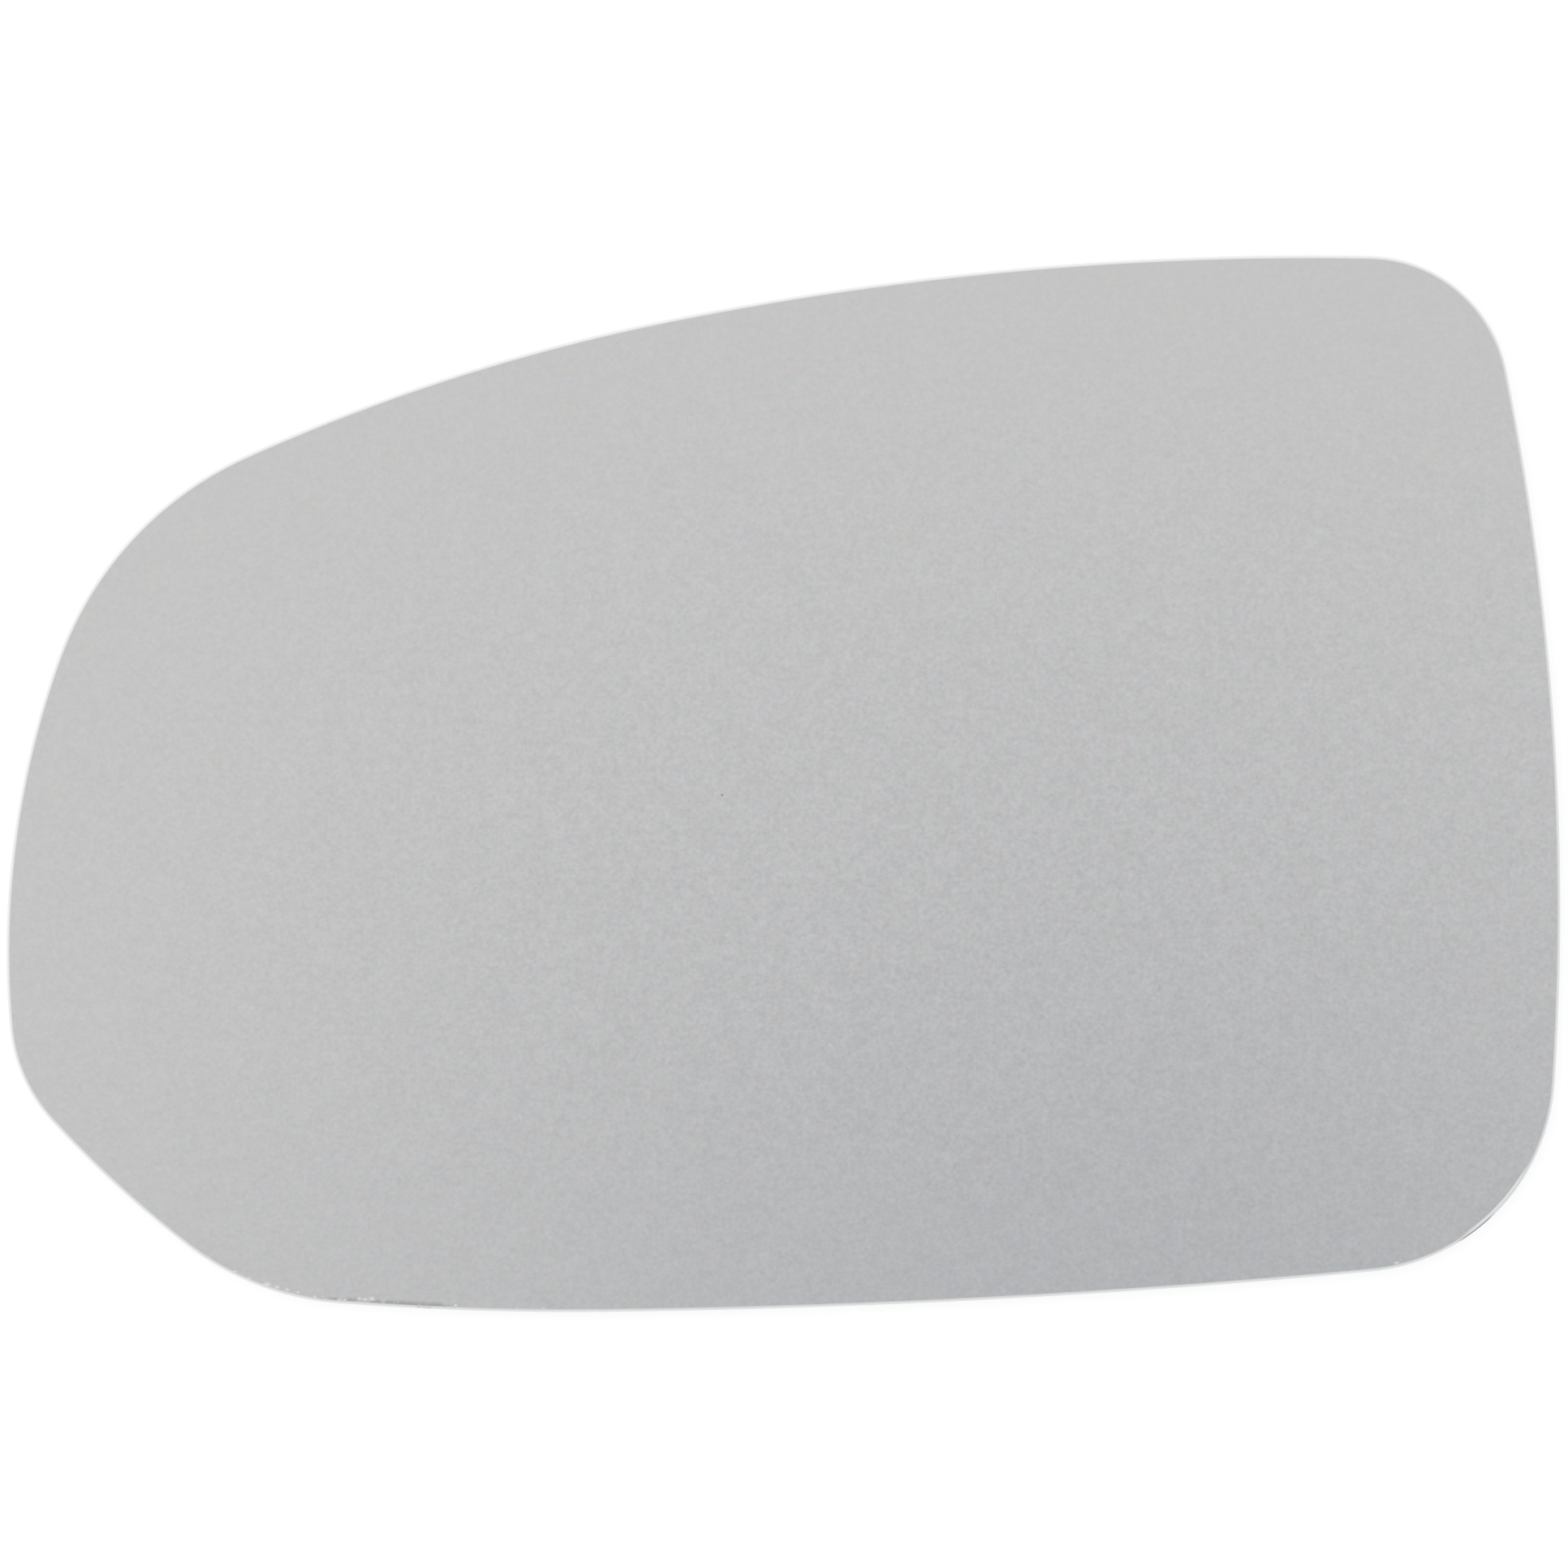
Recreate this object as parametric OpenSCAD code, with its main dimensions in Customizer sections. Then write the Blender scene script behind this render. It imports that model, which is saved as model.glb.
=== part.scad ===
// A loose glass for the left-hand outside mirror of a car door: one flat silvered pane.
// It lies on its painted back with the mirror face up. +X points inboard and +Y up on the car.
// The outline is a closed run of arcs, each in line with the next where they touch, and both
// edges of its cut rim are ground off to a narrow arris.

/* [Pane] */
// Overall width, outboard end to inboard end
glass_w = 180; // [160:1:200]
// Overall height
glass_h = 122.4; // [110:0.2:135]
// Thickness of the glass
glass_t = 2; // [1.6:0.1:3.2]

/* [Ground rim] */
// Width and depth of the arris ground off round the mirror face
face_arris = 0.35; // [0.1:0.05:0.6]
// Width and depth of the arris ground off round the back
back_arris = 0.3; // [0.1:0.05:0.6]

/* [Sides] */
// Radius of the inboard side
inboard_r = 315; // [220:5:450]
// Height of the inboard side's furthest point above the bottom
inboard_up = 46.7; // [38:0.1:56]
// Radius of the top side
top_r = 375; // [280:5:460]
// Distance of the top side's highest point from the inboard end
top_in = 29; // [20:0.5:38]
// Radius of the shoulder, where the top side begins to fall towards the outboard end
shoulder_r = 230; // [180:5:270]
// Slope of the outline where the top side passes into the shoulder
shoulder_slope = 11.5; // [8:0.5:15]
// Radius of the outboard end
outboard_r = 100; // [80:1:130]
// Height of the outboard end's furthest point above the bottom
outboard_up = 41.7; // [34:0.1:50]
// Radius of the slanting side at the lower outboard end
slant_r = 125; // [90:1:180]
// Distance in from the outboard end of the point where that side slants at 45 degrees
slant_in = 9; // [6:0.1:12]
// Height above the bottom of the same point
slant_up = 18.2; // [14:0.1:23]
// Radius of the heel, the rounder outboard part of the bottom side
heel_r = 360; // [240:10:500]
// Distance of the heel's lowest point from the outboard end
heel_in = 65.5; // [52:0.5:80]
// Radius of the rest of the bottom side
bottom_r = 1070; // [700:10:1500]
// Slope of the outline where the heel passes into the rest of the bottom side
bottom_slope = 0.65; // [0.3:0.05:1.5]

/* [Corners] */
// Radius of the corner between the inboard and top sides
top_inboard_r = 16.5; // [10:0.5:25]
// Radius of the corner between the shoulder and the outboard end
top_outboard_r = 41; // [30:0.5:55]
// Radius of the corner between the outboard end and the slanting side
slant_upper_r = 18.5; // [12:0.5:26]
// Radius of the corner between the slanting side and the heel
slant_lower_r = 32.5; // [24:0.5:42]
// Radius of the corner between the bottom and inboard sides
bottom_inboard_r = 23.5; // [15:0.5:32]

/* [Hidden] */

half_w = glass_w / 2;
half_h = glass_h / 2;
// How far the plain middle of the pane keeps inside the outline, clear of both arrises
middle_in = 2 * max(face_arris, back_arris);
// How far the straight steps that draw an arc may lie inside it
sag = 0.004;

// Unit vector at angle a, and along v
function dir(a) = [cos(a), sin(a)];
function unit(v) = v / norm(v);

// Circles are [centre, radius]. The sides, each placed by the one point that locates it
inboard = [[half_w - inboard_r, inboard_up - half_h], inboard_r];
top = [[half_w - top_in, half_h - top_r], top_r];
shoulder = [top[0] + (top_r - shoulder_r) * dir(90 + shoulder_slope), shoulder_r];
outboard = [[outboard_r - half_w, outboard_up - half_h], outboard_r];
slant = [[slant_in - half_w, slant_up - half_h] - slant_r * dir(225), slant_r];
heel = [[heel_in - half_w, heel_r - half_h], heel_r];
bottom = [heel[0] - (bottom_r - heel_r) * dir(270 + bottom_slope), bottom_r];

// Circle of radius r that touches circles a and b from inside, where b follows a anticlockwise
function corner(a, b, r) =
    let (
        apart = norm(b[0] - a[0]),
        u = unit(b[0] - a[0]),
        along = (apart ^ 2 + (a[1] - r) ^ 2 - (b[1] - r) ^ 2) / (2 * apart),
        across = sqrt((a[1] - r) ^ 2 - along ^ 2)
    )
    [a[0] + along * u + across * [-u.y, u.x], r];

// All circles of the outline, anticlockwise from the inboard side
outline = [
    inboard, corner(inboard, top, top_inboard_r),
    top, shoulder, corner(shoulder, outboard, top_outboard_r),
    outboard, corner(outboard, slant, slant_upper_r),
    slant, corner(slant, heel, slant_lower_r),
    heel, bottom, corner(bottom, inboard, bottom_inboard_r)
];
last = len(outline) - 1;

// Point where two neighbouring circles touch
function touch(a, b) =
    a[1] > b[1] ? a[0] + a[1] * unit(b[0] - a[0]) : b[0] + b[1] * unit(a[0] - b[0]);

// Angle, seen from its own centre, at which circle c touches its neighbour d
function angle_of(c, d) = let (p = touch(c, d) - c[0]) atan2(p.y, p.x);

function before(i) = outline[i == 0 ? last : i - 1];
function after(i) = outline[i == last ? 0 : i + 1];
function start(i) = angle_of(outline[i], before(i));
function sweep(i) = (angle_of(outline[i], after(i)) - start(i) + 360) % 360;

// Points round the outline, ground back by inset: each arc in steps that keep to it within sag
function ring(inset) = [
    for (i = [0 : last])
        let (
            r = outline[i][1],
            steps = ceil(sweep(i) / (2 * acos(1 - sag / r)))
        )
        for (k = [0 : steps - 1])
            outline[i][0] + (r - inset) * dir(start(i) + sweep(i) * k / steps)
];

// A slab of the pane between two heights
module slab(from, to, inset) {
    translate([0, 0, from])
        linear_extrude(to - from)
            polygon(ring(inset));
}

// The pane: three slabs stacked from the back up, drawn together so that both arrises slope
module mirror_glass() {
    color("silver")
        union() {
            hull() {
                slab(0, back_arris, back_arris);
                slab(back_arris, glass_t - face_arris, 0);
                slab(glass_t - face_arris, glass_t, face_arris);
            }
            slab(0, glass_t, middle_in);
        }
}

mirror_glass();
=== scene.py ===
"""Looks for a loose glass from a car's left-hand door mirror, lying mirror face up.

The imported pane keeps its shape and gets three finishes: the silvered face, the ground rim and
the painted back. Finishes are laid out in millimetres on the pane, everything else in metres.
"""

import bpy
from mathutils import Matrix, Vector


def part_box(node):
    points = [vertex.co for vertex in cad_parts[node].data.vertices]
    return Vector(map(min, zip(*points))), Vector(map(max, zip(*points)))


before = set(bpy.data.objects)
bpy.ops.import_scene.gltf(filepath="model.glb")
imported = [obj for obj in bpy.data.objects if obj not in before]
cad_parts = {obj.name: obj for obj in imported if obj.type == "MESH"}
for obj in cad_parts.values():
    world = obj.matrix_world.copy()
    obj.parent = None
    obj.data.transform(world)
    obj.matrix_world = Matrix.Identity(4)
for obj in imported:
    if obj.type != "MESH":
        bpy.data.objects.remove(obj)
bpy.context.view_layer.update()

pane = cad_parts["mirror_glass"]
back_corner, face_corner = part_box("mirror_glass")
MM = 1000
GLASS_T = (face_corner.z - back_corner.z) * MM

# The camera looks straight down from this height. The picture is square and shows this width at
# the rim's level, which lies a little below the face
CAMERA_UP = 1.0
PICTURE_W = 0.18168
RIM_DOWN = 0.0003
# Where the picture's middle falls on the pane
PICTURE_MIDDLE = (0.00006, -0.00003)

# The white card overhead that the face reflects, and the round wall beyond it
CARD_UP = 1.6
CARD_W = 1.6
WALL_R = 3.0
WALL_H = 4.8
WALL_SIDES = 96
# How many brighter panels stand round the wall, how far they and the gaps between them are dimmed
# at the floor, and how soft their sides are, from 0 for sharp to 1
WALL_PANELS = 8
PANEL_DIM = 0.15
GAP_DIM = 0.56
PANEL_SOFTNESS = 0.7
# The soft darker patch that the face shows: its middle and reach on the pane, in millimetres
PATCH_AT = (46, -95)
PATCH_R = 108
PATCH_TONE = (0.748, 0.767, 0.800)

# The floor's width, how far below the pane it lies, its own colour, and the glow that lifts it to
# white and leaves a faint shadow
FLOOR_W = 8
FLOOR_DOWN = 0.0001
FLOOR_TONE = (0.2, 0.2, 0.2)
FLOOR_GLOW = 0.83
# Together sky and lamps show a colour that faces up about as it is written
SKY_LEVEL = 0.78
LAMP_WATTS = 5.5
LAMP_W = 1.2
LAMP_AT = (-0.55, 0.65, 1.25)

WHITE = (1, 1, 1)
BLACK = (0, 0, 0)

# From here on lengths are in millimetres, and colours are red, green and blue light.
# The silver at the darkest and at the brightest of its grain
SILVER_LOW = (0.465, 0.462, 0.459)
SILVER_HIGH = (0.663, 0.660, 0.657)
# The grain's layers: size of the dots, detail, share
GRAIN = [(3.2, 2.0, 0.15), (1.1, 1.0, 0.25), (0.45, 1.0, 0.6)]
# The place on the pane where the grain is strongest, its strength there, the distances along X and
# along Y at which the strength has gone down by 1, and the share of colour in it
GRAIN_AT = (30, -17)
GRAIN_STRENGTH = 1.48
GRAIN_REACH = (126, 70)
GRAIN_COLOUR = 0.065

# A speck of dirt on the face: place and radius
SPECK = (-7.1, -1.3, 0.2)
SPECK_BROWN = (0.10, 0.09, 0.08)
# Chips in the face along its edge, painted near white as glints: place and half height
CHIPS = [
    (-66.7, -54.8, 0.24), (-63.6, -56.5, 0.22), (-61.9, -57.3, 0.25), (-59.8, -58.0, 0.42),
    (-58.7, -58.3, 0.24), (-57.5, -58.6, 0.26), (-56.2, -58.9, 0.17), (-54.3, -59.4, 0.18),
    (-53.4, -59.4, 0.16), (-51.5, -59.8, 0.25), (-50.8, -59.8, 0.25), (-49.1, -59.6, 0.19),
    (-48.5, -59.7, 0.26), (-47.7, -59.7, 0.35), (-38.0, -60.4, 0.16), (-30.9, -60.7, 0.14),
    (-27.8, -60.7, 0.14), (71.0, -55.5, 0.19),
]
# How many times as long as high the chips are, and how much their edges wander
CHIP_LENGTH = 1.7
CHIP_WANDER = 0.24
CHIP_GLINT_WHITE = (0.93, 0.95, 0.94)

# The heel of the outline, as in the part. Along a stretch of its edge the face is darker grey with
# brown specks: where on X that begins and is full, from either end, and how far in from the edge it
# begins and is full
HEEL_AT = (-24.5, 298.8)
HEEL_R = 360
DARK_EDGE_OUTBOARD = (-55, -51)
DARK_EDGE_INBOARD = (-38, -40)
DARK_EDGE_DEPTHS = (1.0, 0.4)
DARK_EDGE_GREY = (0.385, 0.385, 0.38)
DARK_EDGE_BROWN = (0.42, 0.365, 0.31)

# The two arrises, as in the part, and half the height over which the rim's finish changes there
FACE_ARRIS = 0.35
BACK_ARRIS = 0.3
BLEND = 0.05
# The face-side arris is darker where it meets the face. It is pale from this depth down, and so is
# the back one
ARRIS_AT_FACE = (0.72, 0.725, 0.73)
ARRIS_PALE = (0.94, 0.945, 0.945)
ARRIS_PALE_DEPTH = 0.3
# The green of the wall between them at its foot, and from this depth below the face up
WALL_LOW = (0.30, 0.35, 0.33)
WALL_HIGH = (0.41, 0.465, 0.44)
WALL_HIGH_DEPTH = 0.5
GRINDING_PALE = (0.84, 0.88, 0.86)
# The lower inboard corner of the outline, as in the part, the stretch of it where the grinding is
# wider and shows in the face, as middle and reach, and how far in from the edge it goes there
CORNER_AT = (65.91, -33.10)
CORNER_R = 23.5
WIDE_ARRIS = (83.2, -49.1, 6.5)
WIDE_ARRIS_IN = 0.5
WIDE_ARRIS_FACE = (0.80, 0.815, 0.825)
WIDE_ARRIS_PALE = (0.84, 0.855, 0.86)
# The shorter stretch of it with painted shade, a near-black line along the arris, the depths below
# the face between which that lies, and half the height over which it begins and ends
ARRIS_SHADE_LINE = (80.3, -51.6, 3.1)
SHADE_LINE_DEPTHS = (0.24, 0.42)
SHADE_LINE_BLEND = 0.04
SHADE_LINE_BLACK = (0.12, 0.12, 0.115)
# Rust that has crept out onto the arris at the heel: middle and reach
ARRIS_RUST = (-41.9, -60.8, 1.6)
RUST_BROWN = (0.36, 0.30, 0.27)

# Where the backing paint has run round onto the rim, and the ragged heights between which it ends
RIM_PAINT = (0.175, 0.185, 0.195)
RIM_PAINT_FULL = 0.36
RIM_PAINT_ENDS = 0.46
# The back's own greys
PAINT_LOW = (0.160, 0.169, 0.178)
PAINT_HIGH = (0.188, 0.197, 0.206)
RUBBED_GREY = (0.30, 0.31, 0.32)
SCRATCH_GREY = (0.36, 0.37, 0.38)
PINHOLE_DARK = (0.06, 0.065, 0.07)
DUST_PALE = (0.42, 0.42, 0.41)


class Value:
    """A number that varies over a surface. Arithmetic on it adds the Math nodes."""

    def __init__(self, finish, socket):
        self.finish = finish
        self.socket = socket

    def math(self, operation, first, second=0.0):
        return self.finish.add("ShaderNodeMath", {"operation": operation}, {0: first, 1: second})

    def __add__(self, other):
        return self.math("ADD", self, other)

    def __sub__(self, other):
        return self.math("SUBTRACT", self, other)

    def __rsub__(self, other):
        return self.math("SUBTRACT", other, self)

    def __mul__(self, other):
        return self.math("MULTIPLY", self, other)

    def __truediv__(self, other):
        return self.math("DIVIDE", self, other)

    def __pow__(self, other):
        return self.math("POWER", self, other)

    __radd__ = __add__
    __rmul__ = __mul__

    def exp(self):
        return self.math("EXPONENT", self)

    def sine(self):
        return self.math("SINE", self)

    def turn_from(self, other):
        """The angle of the point that lies at other across and at this up."""
        return self.math("ARCTAN2", self, other)

    def over(self, other):
        """The larger of the two, so that masks lie over each other without adding up."""
        return self.math("MAXIMUM", self, other)

    def rise(self, low, high):
        """0 below low, 1 above high, smooth between. It falls instead where low is above high."""
        return self.finish.add(
            "ShaderNodeMapRange", {"interpolation_type": "SMOOTHSTEP"},
            {"Value": self, "From Min": low, "From Max": high},
        )


class Finish:
    """The nodes of a material or of the world."""

    def __init__(self, owner):
        owner.use_nodes = True
        self.owner = owner
        self.tree = owner.node_tree
        self.tree.nodes.clear()

    def add(self, kind, settings=None, sockets=None, output=0):
        """Adds a node, makes its settings, fills its sockets with values or links, gives one output."""
        node = self.tree.nodes.new(kind)
        for name, setting in (settings or {}).items():
            setattr(node, name, setting)
        for name, value in (sockets or {}).items():
            if isinstance(value, Value):
                self.tree.links.new(value.socket, node.inputs[name])
            else:
                node.inputs[name].default_value = value
        return Value(self, node.outputs[output]) if node.outputs else node

    def place(self, squeeze=(1, 1, 1), turn=0):
        """The point on the piece in millimetres, turned back about Z, then times squeeze.

        A pattern is drawn out along the axes where squeeze is below 1.
        """
        point = self.add("ShaderNodeTexCoord", output="Object")
        scale = [1 / (MM * s) for s in squeeze]
        return self.add(
            "ShaderNodeMapping", {"vector_type": "TEXTURE"},
            {"Vector": point, "Rotation": (0, 0, turn), "Scale": scale},
        )

    def along(self, axis):
        """How far along X, Y or Z the point lies, in millimetres."""
        return self.add("ShaderNodeSeparateXYZ", {}, {"Vector": self.place()}, axis)

    def noise(self, size, detail=2.0, squeeze=(1, 1, 1), turn=0, output="Fac"):
        """Cloudy noise whose blotches are about size millimetres across."""
        return self.add(
            "ShaderNodeTexNoise", {},
            {"Vector": self.place(squeeze, turn), "Scale": 1 / size, "Detail": detail}, output,
        )

    def scratches(self, turn):
        """1 in long hair-fine scratches that run at that angle to Y."""
        return self.noise(0.9, 1.0, squeeze=(1, 0.02, 1), turn=turn).rise(0.72, 0.79)

    def far_from(self, x, y, z, length=1):
        """How far the point lies from another, in millimetres, with X counted length times shorter."""
        return self.add(
            "ShaderNodeVectorMath", {"operation": "DISTANCE"},
            {0: self.place((1 / length, 1, 1)), 1: (x / length, y, z)}, "Value",
        )

    def spot(self, x, y, radius):
        """1 at a point on the face and near it, falling to 0 at the radius."""
        return self.far_from(x, y, GLASS_T).rise(radius, radius / 2)

    def mix(self, factor, first, second):
        """first where factor is 0 and second where it is 1, for colours.

        Inputs 6 and 7 and output 2 are the ones that the node keeps for colours.
        """
        return self.add(
            "ShaderNodeMix", {"data_type": "RGBA"},
            {"Factor": factor, 6: paint(first), 7: paint(second)}, 2,
        )

    def bump(self, height, depth):
        """Surface relief of that depth in millimetres, where height is 1."""
        return self.add("ShaderNodeBump", {}, {"Height": height, "Distance": depth / MM})

    def surface(self, **sockets):
        """Ends a material in one Principled shader."""
        names = {name.replace("_", " "): value for name, value in sockets.items()}
        shader = self.add("ShaderNodeBsdfPrincipled", {}, names)
        self.add("ShaderNodeOutputMaterial", {}, {"Surface": shader})
        return self.owner


def paint(colour):
    """A colour with its alpha, or a link as it is."""
    return colour if isinstance(colour, Value) else (*colour, 1.0)


def material(name):
    return Finish(bpy.data.materials.new(name))


def silver_grain(finish):
    """The silver itself: fine grey dots, strongest round one place on the pane, with a little colour."""
    dots = sum(finish.noise(size, detail) * share for size, detail, share in GRAIN)
    across = (finish.along("X") - GRAIN_AT[0]) / GRAIN_REACH[0]
    up = (finish.along("Y") - GRAIN_AT[1]) / GRAIN_REACH[1]
    strength = GRAIN_STRENGTH - across ** 2 - up ** 2
    grey = finish.mix((dots - 0.5) * strength + 0.5, SILVER_LOW, SILVER_HIGH)
    return finish.mix(GRAIN_COLOUR, grey, finish.noise(0.6, 1.5, output="Color"))


def darker_heel_edge(finish):
    """1 where the face is darker, in a broken line along the heel's edge."""
    begins, full = [HEEL_R - depth for depth in DARK_EDGE_DEPTHS]
    line = finish.far_from(*HEEL_AT, GLASS_T).rise(begins, full)
    across = finish.along("X")
    stretch = across.rise(*DARK_EDGE_OUTBOARD) * across.rise(*DARK_EDGE_INBOARD)
    broken = finish.noise(0.8, 2.0).rise(0.36, 0.58)
    return line * stretch * broken


def edge_chips(finish):
    """1 in the middle of each chip, falling softly to its ragged edge."""
    ragged = (finish.noise(0.3, 2.0) - 0.5) * CHIP_WANDER
    chips = 0
    for x, y, half_height in CHIPS:
        chip = (finish.far_from(x, y, GLASS_T, CHIP_LENGTH) + ragged).rise(half_height, 0)
        chips = chip.over(chips)
    return chips


def ground_face(finish):
    """1 where the grinding of the lower inboard corner cuts into the face."""
    cut = CORNER_R - WIDE_ARRIS_IN
    return finish.far_from(*CORNER_AT, GLASS_T).rise(cut - BLEND, cut + BLEND) * finish.spot(*WIDE_ARRIS)


def silvered_face():
    """Clear polished glass over the silver, with a faint grain, wiping haze and edge chips with painted
    glints.
    """
    finish = material("silvered_face")
    rust = finish.noise(0.9, 2.0, squeeze=(1, 0.5, 1)).rise(0.5, 0.65)
    heel_edge_colour = finish.mix(rust, DARK_EDGE_GREY, DARK_EDGE_BROWN)
    colour = finish.mix(darker_heel_edge(finish), silver_grain(finish), heel_edge_colour)
    ground = ground_face(finish)
    colour = finish.mix(ground, colour, WIDE_ARRIS_FACE)
    chips = edge_chips(finish)
    # Painted highlight: the chips are made near white as glints
    colour = finish.mix(chips * 0.5, colour, CHIP_GLINT_WHITE)
    speck = finish.spot(*SPECK)
    colour = finish.mix(speck * 0.6, colour, SPECK_BROWN)

    haze = finish.noise(28, 3.0).rise(0.45, 0.7)
    wiping = finish.noise(5, 3.0, squeeze=(0.12, 1, 1)).rise(0.5, 0.75)
    bare = chips.over(speck).over(ground)
    roughness = 0.035 + haze * 0.03 + wiping * 0.015 + bare * 0.3
    return finish.surface(
        Base_Color=colour, Metallic=1 - bare, Roughness=roughness,
        Coat_Weight=1.0, Coat_Roughness=0.02, Coat_IOR=1.5,
    )


def ground_rim():
    """Finely ground glass, green in the wall and pale on the arris, with paint round the back edge."""
    finish = material("ground_rim")
    height = finish.along("Z")
    wall_ends = GLASS_T - FACE_ARRIS
    above_wall = height.rise(wall_ends - BLEND, wall_ends + BLEND)
    below_wall = height.rise(BACK_ARRIS + BLEND, BACK_ARRIS - BLEND)
    pale = finish.mix(height.rise(GLASS_T, GLASS_T - ARRIS_PALE_DEPTH), ARRIS_AT_FACE, ARRIS_PALE)
    pale = finish.mix(finish.spot(*WIDE_ARRIS), pale, WIDE_ARRIS_PALE)
    wall = finish.mix(height.rise(BACK_ARRIS, GLASS_T - WALL_HIGH_DEPTH), WALL_LOW, WALL_HIGH)
    colour = finish.mix(above_wall.over(below_wall), wall, pale)

    grit = finish.noise(0.12, 3.0)
    lines = finish.noise(0.5, 2.0, squeeze=(0.15, 0.15, 8))
    colour = finish.mix(lines.rise(0.35, 0.75) * 0.25, colour, GRINDING_PALE)

    ragged = height + finish.noise(0.8, 3.0) * 0.3
    colour = finish.mix(ragged.rise(RIM_PAINT_ENDS, RIM_PAINT_FULL), colour, RIM_PAINT)

    top, bottom = [GLASS_T - depth for depth in SHADE_LINE_DEPTHS]
    below_top = height.rise(top + SHADE_LINE_BLEND, top - SHADE_LINE_BLEND)
    above_bottom = height.rise(bottom - SHADE_LINE_BLEND, bottom + SHADE_LINE_BLEND)
    # Painted shade: a near-black line along the arris at the lower inboard corner
    shade_line = finish.spot(*ARRIS_SHADE_LINE) * (below_top * above_bottom)
    colour = finish.mix(shade_line * 0.95, colour, SHADE_LINE_BLACK)

    rust = finish.spot(*ARRIS_RUST) * finish.noise(0.5, 2.0).rise(0.42, 0.56) * above_wall
    colour = finish.mix(rust * 0.3, colour, RUST_BROWN)

    relief = finish.bump(grit * 0.6 + lines * 0.4, 0.05)
    return finish.surface(
        Base_Color=colour, Roughness=0.42 + grit * 0.25, IOR=1.52, Normal=relief,
    )


def backing_paint():
    """Grey paint over the silver: mottled and slightly pebbled, with dust, rubbing and scratches."""
    finish = material("backing_paint")
    cloud = finish.noise(24, 5.0).rise(0.3, 0.7)
    colour = finish.mix(cloud, PAINT_LOW, PAINT_HIGH)
    rubbed = finish.noise(11, 6.0, squeeze=(0.7, 0.4, 1), turn=0.5).rise(0.55, 0.75)
    colour = finish.mix(rubbed * 0.2, colour, RUBBED_GREY)
    scratched = finish.scratches(0.35).over(finish.scratches(-0.9))
    colour = finish.mix(scratched * 0.3, colour, SCRATCH_GREY)
    pinholes = finish.noise(0.8, 1.0).rise(0.26, 0.21)
    colour = finish.mix(pinholes * 0.6, colour, PINHOLE_DARK)
    dust = finish.noise(0.6, 2.0).rise(0.66, 0.72)
    colour = finish.mix(dust * 0.5, colour, DUST_PALE)
    pebble = finish.noise(1.6, 2.0)
    relief = finish.bump(pebble * 0.8 + dust * 0.3 - pinholes * 0.3 - scratched * 0.2, 0.06)
    return finish.surface(
        Base_Color=colour, Roughness=0.36 + rubbed * 0.14 + cloud * 0.08, Normal=relief,
    )


def finish_pane():
    """Gives each side of the pane its own finish, told apart by the way its faces look."""
    slots = pane.data.materials
    slots.clear()
    for side in (silvered_face(), ground_rim(), backing_paint()):
        slots.append(side)
    flat = 0.9
    for polygon in pane.data.polygons:
        if polygon.normal.z > flat:
            polygon.material_index = 0
        elif polygon.normal.z < -flat:
            polygon.material_index = 2
        else:
            polygon.material_index = 1


def flat_square(name, width, z):
    """A level square that isn't part of the object, centred on the pane's axis."""
    bpy.ops.object.select_all(action="DESELECT")
    bpy.ops.mesh.primitive_plane_add(size=width, location=(0, 0, z))
    square = bpy.context.object
    square.name = name
    bpy.ops.object.transform_apply(location=True)
    return square


def glowing(stage_piece, finish, **sockets):
    """Gives a stage piece a glowing finish that isn't sampled as a lamp."""
    stage_piece.data.materials.append(finish.surface(**sockets))
    finish.owner.cycles.emission_sampling = "NONE"


def only_mirrored(panel, finish, colour):
    """Makes a stage panel that glows in that colour and shows in polished surfaces alone."""
    panel.visible_camera = False
    panel.visible_diffuse = False
    panel.visible_shadow = False
    panel.visible_transmission = False
    glowing(
        panel, finish, Base_Color=paint(BLACK), Specular_IOR_Level=0.0,
        Emission_Color=colour, Emission_Strength=1.0,
    )


def studio_floor():
    """A white floor that keeps the pane's shadow.

    Light and reflections pass through it, and the view from below does too, so that the pane's
    painted back is lit and seen.
    """
    floor = flat_square("studio_floor", FLOOR_W, back_corner.z - FLOOR_DOWN)
    floor.visible_diffuse = False
    floor.visible_glossy = False
    floor.visible_shadow = False
    finish = material("white_floor")
    underside = finish.add("ShaderNodeNewGeometry", output="Backfacing")
    glowing(
        floor, finish, Base_Color=paint(FLOOR_TONE), Roughness=0.9, Alpha=1 - underside,
        Emission_Color=paint(WHITE), Emission_Strength=FLOOR_GLOW,
    )


def studio_wall():
    """A round wall: white at the top, and near the floor soft bright panels with greyer gaps."""
    bpy.ops.object.select_all(action="DESELECT")
    bpy.ops.mesh.primitive_cylinder_add(
        vertices=WALL_SIDES, radius=WALL_R, depth=WALL_H, end_fill_type="NOTHING",
        location=(0, 0, WALL_H / 2),
    )
    wall = bpy.context.object
    wall.name = "studio_wall"
    bpy.ops.object.transform_apply(location=True)
    finish = material("studio_wall")
    turn = finish.along("Y").turn_from(finish.along("X"))
    gap = (turn * WALL_PANELS).sine().rise(-PANEL_SOFTNESS, PANEL_SOFTNESS)
    low = finish.along("Z").rise(WALL_H * MM, 0)
    level = 1 - low * (gap * (GAP_DIM - PANEL_DIM) + PANEL_DIM)
    only_mirrored(wall, finish, finish.mix(level, BLACK, WHITE))


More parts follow.
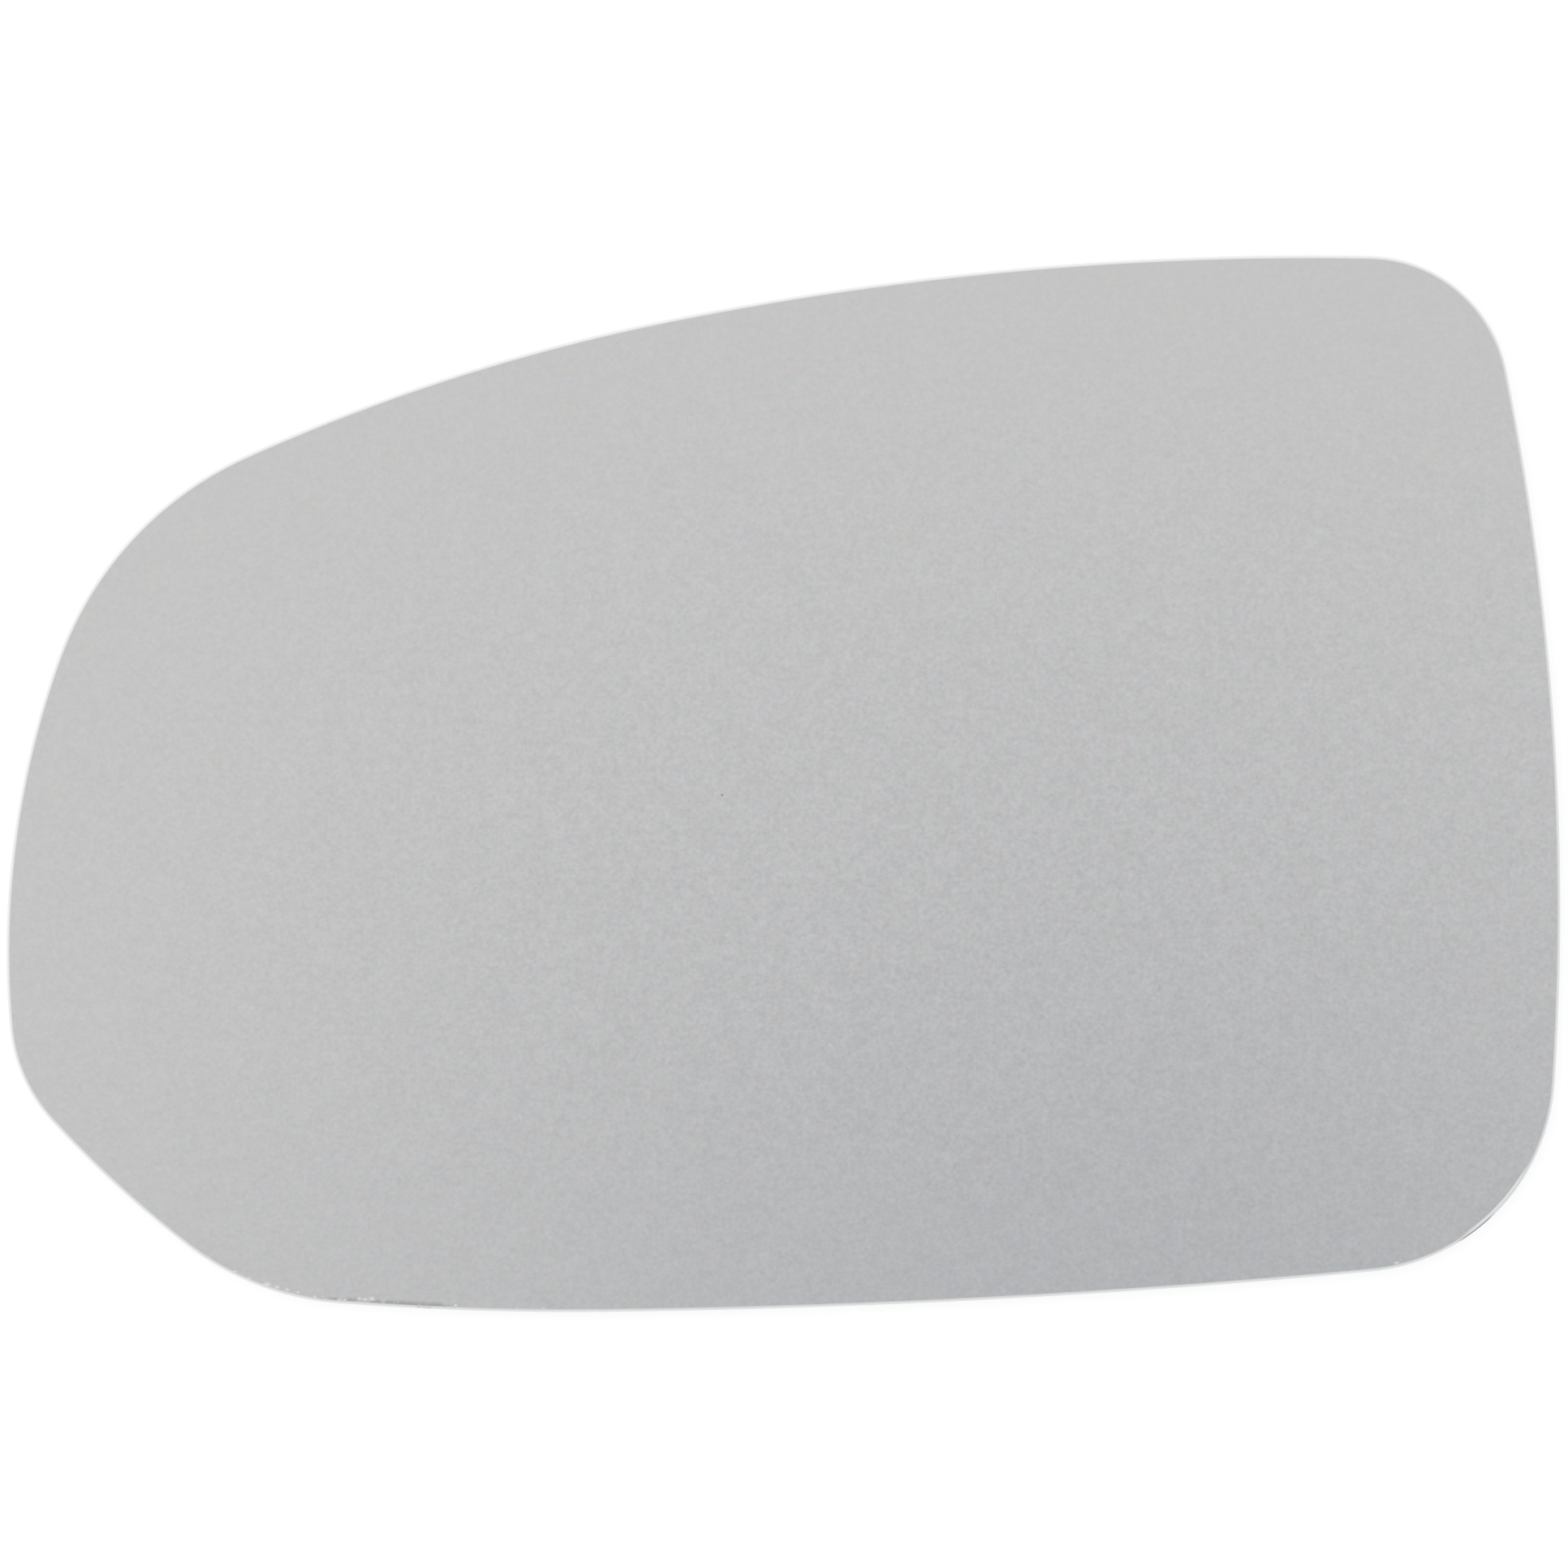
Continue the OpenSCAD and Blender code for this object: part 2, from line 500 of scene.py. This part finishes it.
def overhead_card():
    """A white card above the camera, with the darker patch that the face mirrors."""
    card = flat_square("overhead_card", CARD_W, CARD_UP)
    finish = material("overhead_card")
    face_to_camera = CAMERA_UP - face_corner.z
    face_to_card = CARD_UP - face_corner.z
    spread = (face_to_card + face_to_camera) / face_to_camera
    middle = (PATCH_AT[0] * spread, PATCH_AT[1] * spread, CARD_UP * MM)
    patch = ((finish.far_from(*middle) / (PATCH_R * spread)) ** 2 * -1).exp()
    only_mirrored(card, finish, finish.mix(patch, WHITE, PATCH_TONE))


def soft_lamp(name, at):
    """A large square lamp aimed at the pane."""
    aim = (-at).to_track_quat("-Z", "Y").to_euler()
    bpy.ops.object.light_add(type="AREA", location=at, rotation=aim)
    lamp = bpy.context.object
    lamp.name = name
    lamp.data.shape = "SQUARE"
    lamp.data.size = LAMP_W
    lamp.data.energy = LAMP_WATTS
    return lamp


def studio_light():
    """An even white sky, seen as pure white, and two soft lamps: up to the left, and below it."""
    world = bpy.data.worlds.new("studio_sky")
    bpy.context.scene.world = world
    finish = Finish(world)
    ray = finish.add("ShaderNodeLightPath", output="Is Camera Ray")
    outputs = ray.socket.node.outputs
    seen = ray.over(Value(finish, outputs["Is Glossy Ray"]))
    seen = seen.over(Value(finish, outputs["Is Transmission Ray"]))
    level = SKY_LEVEL + seen * (1 - SKY_LEVEL)
    sky = finish.add("ShaderNodeBackground", {}, {"Color": paint(WHITE), "Strength": level})
    finish.add("ShaderNodeOutputWorld", {}, {"Surface": sky})

    x, y, z = LAMP_AT
    soft_lamp("soft_lamp", Vector((x, y, z))).visible_glossy = False
    soft_lamp("low_lamp", Vector((x, y, -z)))


def camera_above():
    """Looks straight down with the top of the pane up, so the picture's width fits the rim."""
    x, y = PICTURE_MIDDLE
    bpy.ops.object.camera_add(location=(x, y, CAMERA_UP), rotation=(0, 0, 0))
    camera = bpy.context.object
    camera.name = "camera"
    distance = CAMERA_UP - (face_corner.z - RIM_DOWN)
    camera.data.lens = camera.data.sensor_width * distance / PICTURE_W
    camera.data.clip_start = 0.01
    bpy.context.scene.camera = camera


finish_pane()
studio_floor()
studio_wall()
overhead_card()
studio_light()
camera_above()
bpy.context.scene.view_settings.view_transform = "Standard"
